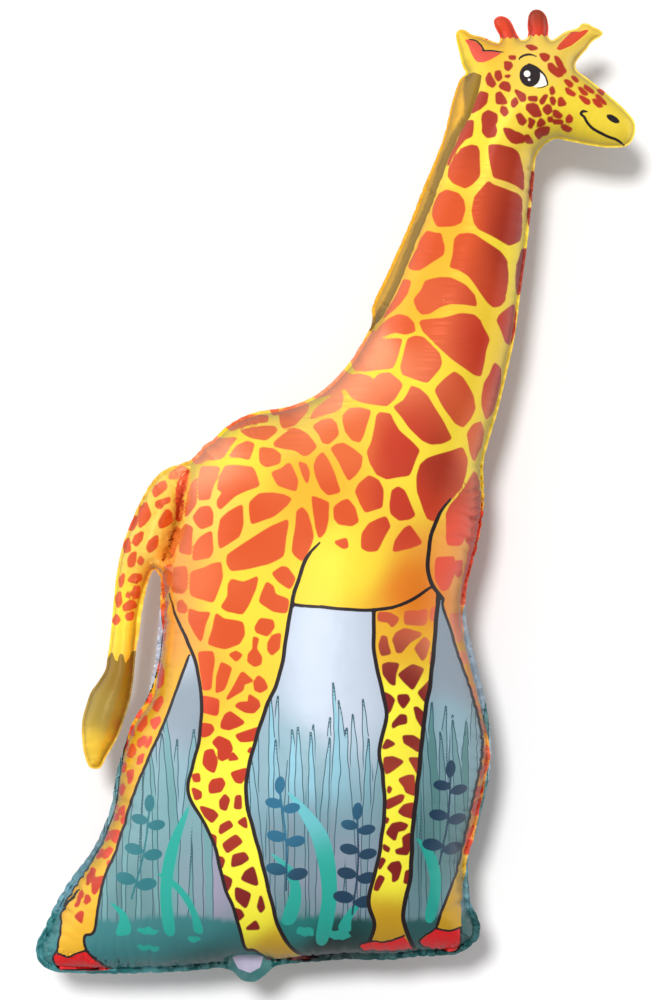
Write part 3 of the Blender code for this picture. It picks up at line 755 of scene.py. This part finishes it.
def screen_ink(code):
    """A screen colour as linear red, green and blue."""
    value = np.array([int(code[k:k + 2], 16) for k in (1, 3, 5)]) / 255
    return np.where(value < 0.04045, value / 12.92, ((value + 0.055) / 1.055) ** 2.4)


def blended(points, inks):
    """Inks that flow into each other between the places where each is strongest."""
    total, share = np.zeros((len(points), 3)), np.zeros(len(points))
    for code, places in inks:
        for x, y in places:
            weight = ((points[:, 0] - x) ** 2 + (points[:, 1] - y) ** 2 + 300.0) ** -2.0
            total += weight[:, None] * screen_ink(code)
            share += weight
    return total / share[:, None]


def stroke(width, taper_in, taper_out, points_along, points):
    """Distance into a drawn line that can taper at its ends."""
    row = smooth_row(points_along)
    near = is_near(row, points)
    out = np.full(len(points), -FAR)
    gap, place = nearest_on(row, points[near], closed=False)
    travelled = travelled_along(row)
    at = np.interp(place, np.arange(len(row)), travelled)
    half = np.full(len(at), float(width))
    for from_end, taper in ((at, taper_in), (travelled[-1] - at, taper_out)):
        if taper:
            half *= 0.6 + 0.4 * ramp(from_end, 0, taper)
    out[near] = half - gap
    return out


def grown_blades():
    """Tall blades of grass, in three groups so that they can overlap."""
    rng = np.random.default_rng(BLADE_SEED)
    groups = ([], [], [])
    turn = 0
    for left, right, foot, top in MEADOWS:
        x = left
        while x < right:
            tip = rng.uniform(top, top + 50) + 60 * rng.random() ** 3
            lean = rng.uniform(-BLADE_LEAN, BLADE_LEAN)
            width = rng.uniform(*BLADE_WIDTHS)
            t = np.linspace(0, 1, 10)
            middle = np.column_stack((x + lean * t**1.5, foot + (tip - foot) * t))
            half = np.column_stack((width * (0.75 + 0.5 * t) * (1 - t**2.6) + 0.5, 0 * t))
            groups[turn % 3].append(np.vstack((middle - half, (middle + half)[::-1])))
            turn += 1
            x += rng.uniform(*BLADE_STEPS)
    return groups


def grown_leaves():
    """Sprigs with pairs of oval leaves, as stems and leaves."""
    stems, leaves = [], []
    for (x0, y0), (x1, y1), pairs in SPRIGS:
        stems.append([(x0, y0), ((x0 + x1) / 2 + 3, (y0 + y1) / 2), (x1, y1)])
        for k in range(pairs):
            t = (k + 0.5) / pairs
            x, y = x0 + (x1 - x0) * t + 12 * t * (1 - t), y0 + (y1 - y0) * t
            size = LEAF_SIZE - LEAF_SHRINK * t
            for side in (-1, 1):
                leaves.append(((x + side * size * 1.05, y - 3 + side * 2.5), (size, size * 0.6),
                               side * -LEAF_TILT))
        leaves.append(((x1, y1 - 7), (5.0, 8.6), 0.1))
    return stems, leaves


def growth(patch):
    """How far a patch is grown to its printed size."""
    right, bottom = patch.max(axis=0)
    small = np.ptp(patch, axis=0).max() < SMALL_PATCH
    on_tail = right < TAIL_RIGHT and bottom < TAIL_BOTTOM
    return (SMALL_GROWTH if small else PATCH_GROWTH) + (TAIL_GROWTH if on_tail else 0)


def horn_tips(flat):
    """Distance into the horns' red tips, which end below in a wavy line."""
    x, y = flat.T
    foot = np.where(x < HORN_GAP, *HORN_FEET) + 1.3 * np.sin(x * 1.1)
    sides = np.minimum(x - HORN_LEFT, HORN_RIGHT - x)
    return np.maximum(np.minimum(foot - y, sides), -FAR)


def painted(flat, p, ink):
    """Distance into the plain shapes over the coat, whose own inks are laid on the given one."""
    mane, horns = depth_in(MANE, p), horn_tips(flat)
    strip = nearest_on(smooth_row(MANE_LINE), flat, closed=False)[0][:, None]
    outer = ramp(strip - 9 * (1 - ramp(flat[:, 1:], 85, 120)), 5, 7.5)
    strips = outer * screen_ink(MANE_OUTER_INK) + (1 - outer) * screen_ink(MANE_INNER_INK)
    laid = mane > -INK_MARGIN
    # The mane's inks darken by a quarter toward the line where mane meets neck: painted shade in that
    # crease
    ink[laid] = (strips * (0.75 + 0.25 * ramp(strip, 0, 5)))[laid]
    fields = [depth_in(corners, flat) for _, corners in SHAPES]
    for field, (code, _) in zip(fields, SHAPES):
        ink[field > -SHAPE_MARGIN] = screen_ink(code)
    laid = horns > -INK_MARGIN
    ink[laid] = blended(flat[laid], HORN_INKS)
    return union(mane, depth_in(TUFT, flat), horns, *fields)


def printed(flat):
    """Every printed shape as a distance to its edge, and every ink, at each vertex."""
    p, q = flat + wobble(flat, 26.0, 0.35), flat + wobble(flat, 9.0, 1.2)
    inks = {name + "_ink": blended(flat, palette) for name, palette in PALETTES.items()}
    pupil = depth_in_ellipse(*PUPIL, flat)
    stems, leaves = grown_leaves()
    coats = (BODY, NEAR_HIND, FAR_LEG, NEAR_FORE, FAR_FORE_LEG)
    values = {
        "coat": union(*[depth_in(part, p) for part in coats]),
        "patch": union(*[depth_in(shape, p) + growth(shape) for shape in PATCHES]),
        "line": union(*[stroke(*drawn, p) for drawn in LINES + FACE_LINES],
                      pupil, depth_in_ellipse(*NOSTRIL, flat)),
        "white": union(np.minimum(depth_in(EYE_WHITE, flat), -pupil),
                       *[depth_in_ellipse(*glint, flat) for glint in GLINTS]),
        "shape": painted(flat, p, inks["shape_ink"]),
        "leaf": union(*[stroke(STEM_WIDTH, 0, 0, stem, flat) for stem in stems],
                      *[depth_in_ellipse(*oval, flat) for oval in leaves]),
        "frond": union(*[depth_in(smooth_row(corners, closed=True), flat) for corners in FRONDS],
                       *[depth_in_ellipse((x, y), (a, b), TUFT_TILT, q) for x, y, a, b in GROUND_TUFTS]),
        "ground": q[:, 1] - GROUND_TOP + GROUND_WAVE * np.sin(q[:, 0] / GROUND_PITCH),
    }
    for k, group in enumerate(grown_blades(), 1):
        values[f"blade_{k}"] = union(*[depth_in(sides, p) for sides in group])
    return values, inks


# The foil's surface

# Edges that turn by more than this, in degrees, are kept sharp
SHARP_FROM = 34
# Where the weld is gathered: place, how far it reaches along the outline, and how strongly
GATHERED = [((160, 480), 45, 0.9), ((160, 600), 60, 0.7), ((200, 450), 30, 0.6), ((484, 520), 45, 0.9),
            ((488, 740), 90, 0.5), ((115, 790), 80, 0.6), ((60, 900), 60, 0.8), ((478, 920), 50, 0.8),
            ((380, 960), 90, 0.7), ((140, 972), 90, 0.7), ((500, 40), 70, 0.2), ((370, 330), 40, 0.5),
            ((430, 190), 90, 0.5), ((540, 150), 40, 0.5), ((270, 420), 60, 0.2)]
# Where fine ripples cross the foil: how far they reach from a row of points
RIPPLED = [(22, [(470, 170), (440, 250), (420, 330)]), (34, [(430, 340), (370, 400), (320, 430)]),
           (26, [(300, 440), (240, 470), (205, 520)])]
RIPPLE_DEPTH = 3.2
# Folds along the weld: distance between them, reach, depth and seed of their unevenness
FOLD_PITCH, FOLD_REACH, FOLD_DEPTH, FOLD_SEED = 12.0, 19.0, 3.7, 3
FINE_PITCH, FINE_REACH, FINE_DEPTH, FINE_SEED = 6.5, 9.0, 1.6, 11
# The valley between neck and mane, which ends at this height of the sheet
MANE_VALLEY, MANE_VALLEY_REACH, MANE_END = 1.8, 3, 325
# Shallow creases that only the material shows
CREASE_DEPTH, CREASE_REACH, CREASE_PITCH, CREASE_LENGTH = 1.6, 9, 3.2, 26
# The weld's own scallops, roughness and waves, and how much less there is of them at the tab
SCALLOP, RIM_ROUGHNESS, RIM_WAVE = 1.8, 0.8, 3.0
CALM_MIDDLE, CALM_REACH, CALM_TOP, CALM_SHARE = 250, 30, 940, 0.7
# How strongly the weld is gathered, at least and at most, and the crumples' depth and seeds
LEAST_GATHERED, MOST_GATHERED = 0.22, 1.1
CRUMPLE_DEPTH, CRUMPLE_SEED, RIM_SEED = 0.85, 20, 19

# Rows of points along which the foil is crumpled: how far that reaches, and how deep it is
CRUMPLED = [(8.0, 1.0, [(186, 462), (181, 480), (179, 505), (175, 530), (170, 552), (165, 575)]),
            (5.5, 1.0, [(165, 575), (164, 610), (161, 650), (146, 690)]),
            (5.5, 1.0, [(482, 470), (484, 500), (481, 535), (474, 570), (466, 605)]),
            (4.5, 0.9, [(140, 690), (110, 800), (70, 880), (42, 950), (150, 966), (230, 962)]),
            (4.5, 0.9, [(470, 612), (488, 700), (478, 860), (482, 940), (380, 962), (290, 968)]),
            (6.0, 0.8, [(235, 418), (215, 428), (190, 455), (160, 470), (140, 505)]),
            (3.0, 0.6, [(158, 505), (146, 530), (139, 560), (134, 600)]),
            (3.0, 0.6, [(168, 515), (158, 540), (150, 566), (142, 596)])]


def near_row(row, reach, flat):
    """How near each vertex is to a row of points, from 1 on it to 0 far away."""
    return np.exp(-(nearest_on(row, flat, closed=False)[0] / reach) ** 2)


def crumple(flat):
    """How deep the foil is crumpled at each vertex."""
    return union(*[amount * near_row(np.array(row, float), reach, flat)
                   for reach, amount, row in CRUMPLED])


def seam_of(flat, half, loop, width):
    """How each vertex lies to the weld: gap, place along, weld's width, gathering and way in."""
    gap, place = nearest_on(loop, flat)
    index = np.floor(place).astype(int) % len(loop)
    normal = inward(loop)
    tree = KDTree(len(flat))
    for k, (x, y) in enumerate(flat):
        tree.insert((x, y, 0), k)
    tree.balance()
    inner = [tree.find((x, y, 0))[1] for x, y in loop + normal * (width[:, None] + RINGS[-1])]
    roomy = eased(ramp(half[inner], 10, 48), 10)
    gathered = np.full(len(loop), LEAST_GATHERED)
    for spot, reach, amount in GATHERED:
        gathered += amount * np.exp(-np.sum((loop - spot) ** 2, axis=1) / reach**2)
    amount = np.minimum(gathered, MOST_GATHERED) * (0.45 + 0.55 * roomy)
    return gap, place * OUTLINE_STEP, width[index], amount[index], normal[index]


def surfaced(flat, faces, half, seam, side):
    """One foil in space: puffed, with folds that run in from a wavy, scalloped weld."""
    gap, along, weld, amount, way_in = seam
    inside = np.maximum(gap - weld, 0)
    off_weld = 1 - np.exp(-inside / 2)
    crumpled = crumple(flat)
    turns = rhythm(along, FOLD_PITCH, FOLD_SEED)
    depth = FOLD_DEPTH * amount * folds(along, inside, FOLD_PITCH, FOLD_REACH, FOLD_SEED)
    depth += FINE_DEPTH * amount * folds(along, inside, FINE_PITCH, FINE_REACH, FINE_SEED + side)
    by_mane = near_row(smooth_row(MANE_LINE), MANE_VALLEY_REACH, flat)
    depth += MANE_VALLEY * by_mane * off_weld * (flat[:, 1] < MANE_END)
    rng = np.random.default_rng(CRUMPLE_SEED + side)
    depth += CRUMPLE_DEPTH * crumpled * rng.normal(0, 1, len(flat)) * off_weld
    normal = leaning(flat, faces, half)
    share = np.clip(1 - gap / weld, 0, 1)
    notch = valleys(turns, FOLD_SEED)[0] * share * SCALLOP * amount
    at_tab = (np.abs(flat[:, 0] - CALM_MIDDLE) < CALM_REACH) * (flat[:, 1] > CALM_TOP)
    calm = 1 - CALM_SHARE * at_tab
    moved = flat - normal[:, :2] * depth[:, None] + way_in * (notch * calm)[:, None]
    rng = np.random.default_rng(RIM_SEED)
    rough = RIM_ROUGHNESS * crumpled * rng.normal(0, 1, len(flat)) * (inside < 0.1)
    wave = rough * calm + RIM_WAVE * amount * calm * np.sin(np.pi * turns) * np.exp(-inside / 5)
    level = plane + wave + side * (np.maximum(half - normal[:, 2] * depth, 0) + FOIL_GAP)
    return np.column_stack(((moved - MIDDLE) * (UNIT, -UNIT), np.maximum(level, FOIL_GAP) * UNIT))


def make_foil(name, world, faces, values, inks, below=None):
    """One film as a mesh. Rim points of the other film, where given, get a wall down to them."""
    faces = [list(map(int, face)) for face in faces]
    pick = np.arange(len(world))
    if below is not None:
        start, count = len(world), len(below)
        for a in range(count):
            b = (a + 1) % count
            faces.append([a, b, start + b, start + a])
        world = np.vstack((world, below))
        pick = np.concatenate((pick, pick[:count]))
    mesh = bpy.data.meshes.new(name)
    mesh.from_pydata(world.tolist(), [], faces)
    for key, value in values.items():
        mesh.attributes.new(key, "FLOAT", "POINT").data.foreach_set("value", value[pick])
    for key, value in inks.items():
        filled = np.column_stack((value[pick], np.ones(len(pick))))
        mesh.attributes.new(key, "FLOAT_COLOR", "POINT").data.foreach_set("color", filled.ravel())
    mesh.shade_smooth()
    mesh.set_sharp_from_angle(angle=math.radians(SHARP_FROM))
    piece = bpy.data.objects.new(name, mesh)
    bpy.context.collection.objects.link(piece)
    return piece


# Material

FILM = {"Metallic": 0.32, "Roughness": 0.25, "Coat Weight": 0.4, "Coat Roughness": 0.1}
BUMP = {"Strength": 0.5, "Distance": 0.001}
DENT_SCALE, DENT_DEPTH = 30, 1.6
RIPPLE_STRETCH, RIPPLE_TURN = (18, 210, 1), 0.35
# Groups of blades: how strong their fill is, and the groups in front of them
BLADES = [("blade_1", 0.35, ("blade_2", "blade_3")), ("blade_2", 1.0, ("blade_3",)),
          ("blade_3", 0.65, ())]


def set_inputs(node, numbers):
    """Sets a node's inputs by their names."""
    for key, value in numbers.items():
        node.inputs[key].default_value = value


class Nodes:
    """Short names for the nodes that the print needs."""

    def __init__(self, name):
        self.material = bpy.data.materials.new(name)
        self.material.use_nodes = True
        self.tree = self.material.node_tree
        self.shader = self.tree.nodes["Principled BSDF"]

    def link(self, source, target):
        self.tree.links.new(source, target)

    def put(self, value, socket):
        if isinstance(value, bpy.types.NodeSocket):
            self.link(value, socket)
        else:
            socket.default_value = value

    def field(self, name, output="Fac"):
        """A number, or with another output a colour, kept at the vertices."""
        node = self.tree.nodes.new("ShaderNodeAttribute")
        node.attribute_name = name
        return node.outputs[output]

    def math(self, operation, a, b):
        node = self.tree.nodes.new("ShaderNodeMath")
        node.operation = operation
        for value, socket in zip((a, b), node.inputs):
            self.put(value, socket)
        return node.outputs[0]

    def edge(self, value, low=-0.35, high=0.35):
        """From 0 outside a shape to 1 inside it, with a soft edge between two distances."""
        node = self.tree.nodes.new("ShaderNodeMapRange")
        node.interpolation_type = "SMOOTHSTEP"
        self.put(value, node.inputs["Value"])
        set_inputs(node, {"From Min": low, "From Max": high})
        return node.outputs["Result"]

    def mix(self, share, below, above):
        node = self.tree.nodes.new("ShaderNodeMix")
        node.data_type = "RGBA"
        self.put(share, node.inputs["Factor"])
        for value, socket in ((below, node.inputs[6]), (above, node.inputs[7])):
            self.put(value if isinstance(value, bpy.types.NodeSocket) else (*value, 1.0), socket)
        return node.outputs[2]

    def noise(self, scale, detail=2.0, stretch=(1, 1, 1), turn=0.0, place=None):
        place = place or self.tree.nodes.new("ShaderNodeTexCoord").outputs["Object"]
        mapping = self.tree.nodes.new("ShaderNodeMapping")
        set_inputs(mapping, {"Scale": stretch, "Rotation": (0, 0, turn)})
        node = self.tree.nodes.new("ShaderNodeTexNoise")
        set_inputs(node, {"Scale": scale, "Detail": detail})
        self.link(place, mapping.inputs["Vector"])
        self.link(mapping.outputs["Vector"], node.inputs["Vector"])
        return node.outputs["Fac"]


def panel_print(n):
    """The picture between the legs: sky, grass, ground, fronds and sprigs, one over the other."""
    def colour(name):
        return n.field(name + "_ink", "Color")

    panel = colour("panel")
    for name, strength, in_front in BLADES:
        covers = n.field(in_front[0]) if in_front else -9.0
        for other in in_front[1:]:
            covers = n.math("MAXIMUM", covers, n.field(other))
        blade = n.field(name)
        fill = n.mix(strength, colour("panel"), colour("blade"))
        seen = n.math("SUBTRACT", 1.0, n.edge(covers, -2.6, -1.6))
        edge = n.math("MULTIPLY", seen, n.edge(blade, -0.9, -0.3))
        panel = n.mix(edge, panel, screen_ink(BLADE_EDGE_INK))
        panel = n.mix(n.edge(blade, 0.0, 0.6), panel, fill)
    panel = n.mix(n.edge(n.field("ground"), -5.0, 4.0), panel, colour("ground"))
    for name in ("frond", "leaf"):
        panel = n.mix(n.edge(n.field(name)), panel, colour(name))
    return panel


def foil_material():
    """The printed film, with the small dents, ripples and creases that catch the light."""
    n = Nodes("printed_foil")
    patched = n.edge(n.field("patch"), -0.9, 0.5)
    # The coat and patch colours hold painted sheen and painted shade from their inks, besides the print
    coat = n.mix(patched, n.field("coat_ink", "Color"), n.field("patch_ink", "Color"))
    print_ink = n.mix(n.edge(n.field("coat")), panel_print(n), coat)
    print_ink = n.mix(n.edge(n.field("shape")), print_ink, n.field("shape_ink", "Color"))
    print_ink = n.mix(n.edge(n.field("line")), print_ink, screen_ink(LINE_INK))
    print_ink = n.mix(n.edge(n.field("white"), -0.3, 0.3), print_ink, screen_ink(WHITE_INK))
    n.link(print_ink, n.shader.inputs["Base Color"])
    set_inputs(n.shader, FILM)
    dents = n.math("MULTIPLY", n.noise(DENT_SCALE), DENT_DEPTH)
    ripples = n.noise(1.0, 1.0, RIPPLE_STRETCH, RIPPLE_TURN)
    ripples = n.math("MULTIPLY", ripples, n.field("ripple"))
    creases = n.noise(1.0, place=n.field("seam", "Vector"))
    creases = n.math("MULTIPLY", creases, n.field("crease"))
    bump = n.tree.nodes.new("ShaderNodeBump")
    set_inputs(bump, BUMP)
    n.link(n.math("ADD", n.math("ADD", dents, ripples), creases), bump.inputs["Height"])
    n.link(bump.outputs["Normal"], n.shader.inputs["Normal"])
    return n.material


# Pieces

loop, plane = rim_of(CAD_NODE)
loop = resampled_loop(loop, OUTLINE_STEP)
width = rim_width(loop)
flat, faces, welded, pinched, rim_count = pattern(loop, width)
half = puffed(flat, faces, welded, pinched, solid_depth(CAD_NODE, flat, plane))
seam = seam_of(flat, half, loop, width)
gap, along, weld, gathering, _ = seam
inside = np.maximum(gap - weld, 0)
values, inks = printed(flat)
values["crease"] = CREASE_DEPTH * gathering * np.exp(-inside / CREASE_REACH)
values["ripple"] = RIPPLE_DEPTH * ramp(inside, 4, 14) * union(
    *[near_row(smooth_row(row), reach, flat) for reach, row in RIPPLED])
inks["seam"] = np.column_stack((along / CREASE_PITCH, inside / CREASE_LENGTH, np.zeros(len(flat))))
film = foil_material()
front, back = (surfaced(flat, faces, half, seam, side) for side in (1, -1))
pieces = [make_foil("front_foil", front, faces, values, inks, back[:rim_count]),
          make_foil("back_foil", back, faces[:, ::-1], values, inks)]
for piece in pieces:
    piece.data.materials.append(film)
    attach(piece, "root")
    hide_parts(CAD_NODE)


# Floor, light and camera

FLOOR_REACH, FLOOR_LEVEL = 15, -0.001
PAPER = {"Base Color": (0.8, 0.8, 0.8, 1), "Roughness": 0.9, "Specular IOR Level": 0.1}
SUN_STRENGTH, SUN_ANGLE, SUN_WAY = 2.6, 10, (0.15, -0.24, -1)
SKY_TINT = (1.0, 1.0, 1.02, 1)
# Soft lights in the sky: direction, where each begins and is full, and its strength off and on it
WIDE_LIGHT = ((-0.5, 0.4, 0.77), -0.5, 0.95, 0.24, 0.68)
SOFT_LIGHTS = [((0.0, 0.06, 1.0), 0.972, 0.999, 0.0, 1.1), ((-0.9, 0.35, 0.0), 0.75, 0.95, 0.0, 0.4),
               ((0.97, 0.0, -0.25), 0.75, 0.95, 0.0, 0.5)]
LENS, SENSOR, FARTHEST_SEEN = 200, 36, 50
CAMERA_PLACE = (-0.00255, -0.0044, 5.657)

floor_mesh = bpy.data.meshes.new("floor")
corners = [(x * FLOOR_REACH, y * FLOOR_REACH, FLOOR_LEVEL)
           for x, y in ((-1, -1), (1, -1), (1, 1), (-1, 1))]
floor_mesh.from_pydata(corners, [], [(0, 1, 2, 3)])
floor = bpy.data.objects.new("floor", floor_mesh)
bpy.context.collection.objects.link(floor)
paper = bpy.data.materials.new("pale_floor")
paper.use_nodes = True
set_inputs(paper.node_tree.nodes["Principled BSDF"], PAPER)
floor_mesh.materials.append(paper)
floor.visible_glossy = False

sun_light = bpy.data.lights.new("sun", "SUN")
sun_light.energy = SUN_STRENGTH
sun_light.angle = math.radians(SUN_ANGLE)
sun = bpy.data.objects.new("sun", sun_light)
sun.rotation_euler = Vector(SUN_WAY).to_track_quat("-Z", "Y").to_euler()
sun.visible_glossy = False
bpy.context.collection.objects.link(sun)

world = bpy.data.worlds.new("studio")
world.use_nodes = True
bpy.context.scene.world = world
sky = world.node_tree
ray = sky.nodes.new("ShaderNodeTexCoord")


def lit_from(direction, low, high, dark, bright):
    """A soft light in the sky round a direction, as a socket for its strength."""
    facing = sky.nodes.new("ShaderNodeVectorMath")
    facing.operation = "DOT_PRODUCT"
    facing.inputs[1].default_value = Vector(direction).normalized()
    tone = sky.nodes.new("ShaderNodeMapRange")
    tone.interpolation_type = "SMOOTHSTEP"
    set_inputs(tone, {"From Min": low, "From Max": high, "To Min": dark, "To Max": bright})
    sky.links.new(ray.outputs["Generated"], facing.inputs[0])
    sky.links.new(facing.outputs["Value"], tone.inputs["Value"])
    return tone.outputs["Result"]


strength = lit_from(*WIDE_LIGHT)
for light in SOFT_LIGHTS:
    both = sky.nodes.new("ShaderNodeMath")
    sky.links.new(strength, both.inputs[0])
    sky.links.new(lit_from(*light), both.inputs[1])
    strength = both.outputs[0]
sky.links.new(strength, sky.nodes["Background"].inputs["Strength"])
sky.nodes["Background"].inputs["Color"].default_value = SKY_TINT

camera_data = bpy.data.cameras.new("camera")
camera_data.lens = LENS
camera_data.sensor_width = SENSOR
camera_data.clip_end = FARTHEST_SEEN
camera = bpy.data.objects.new("camera", camera_data)
camera.location = CAMERA_PLACE
bpy.context.collection.objects.link(camera)
bpy.context.scene.camera = camera
bpy.context.scene.view_settings.view_transform = "Standard"
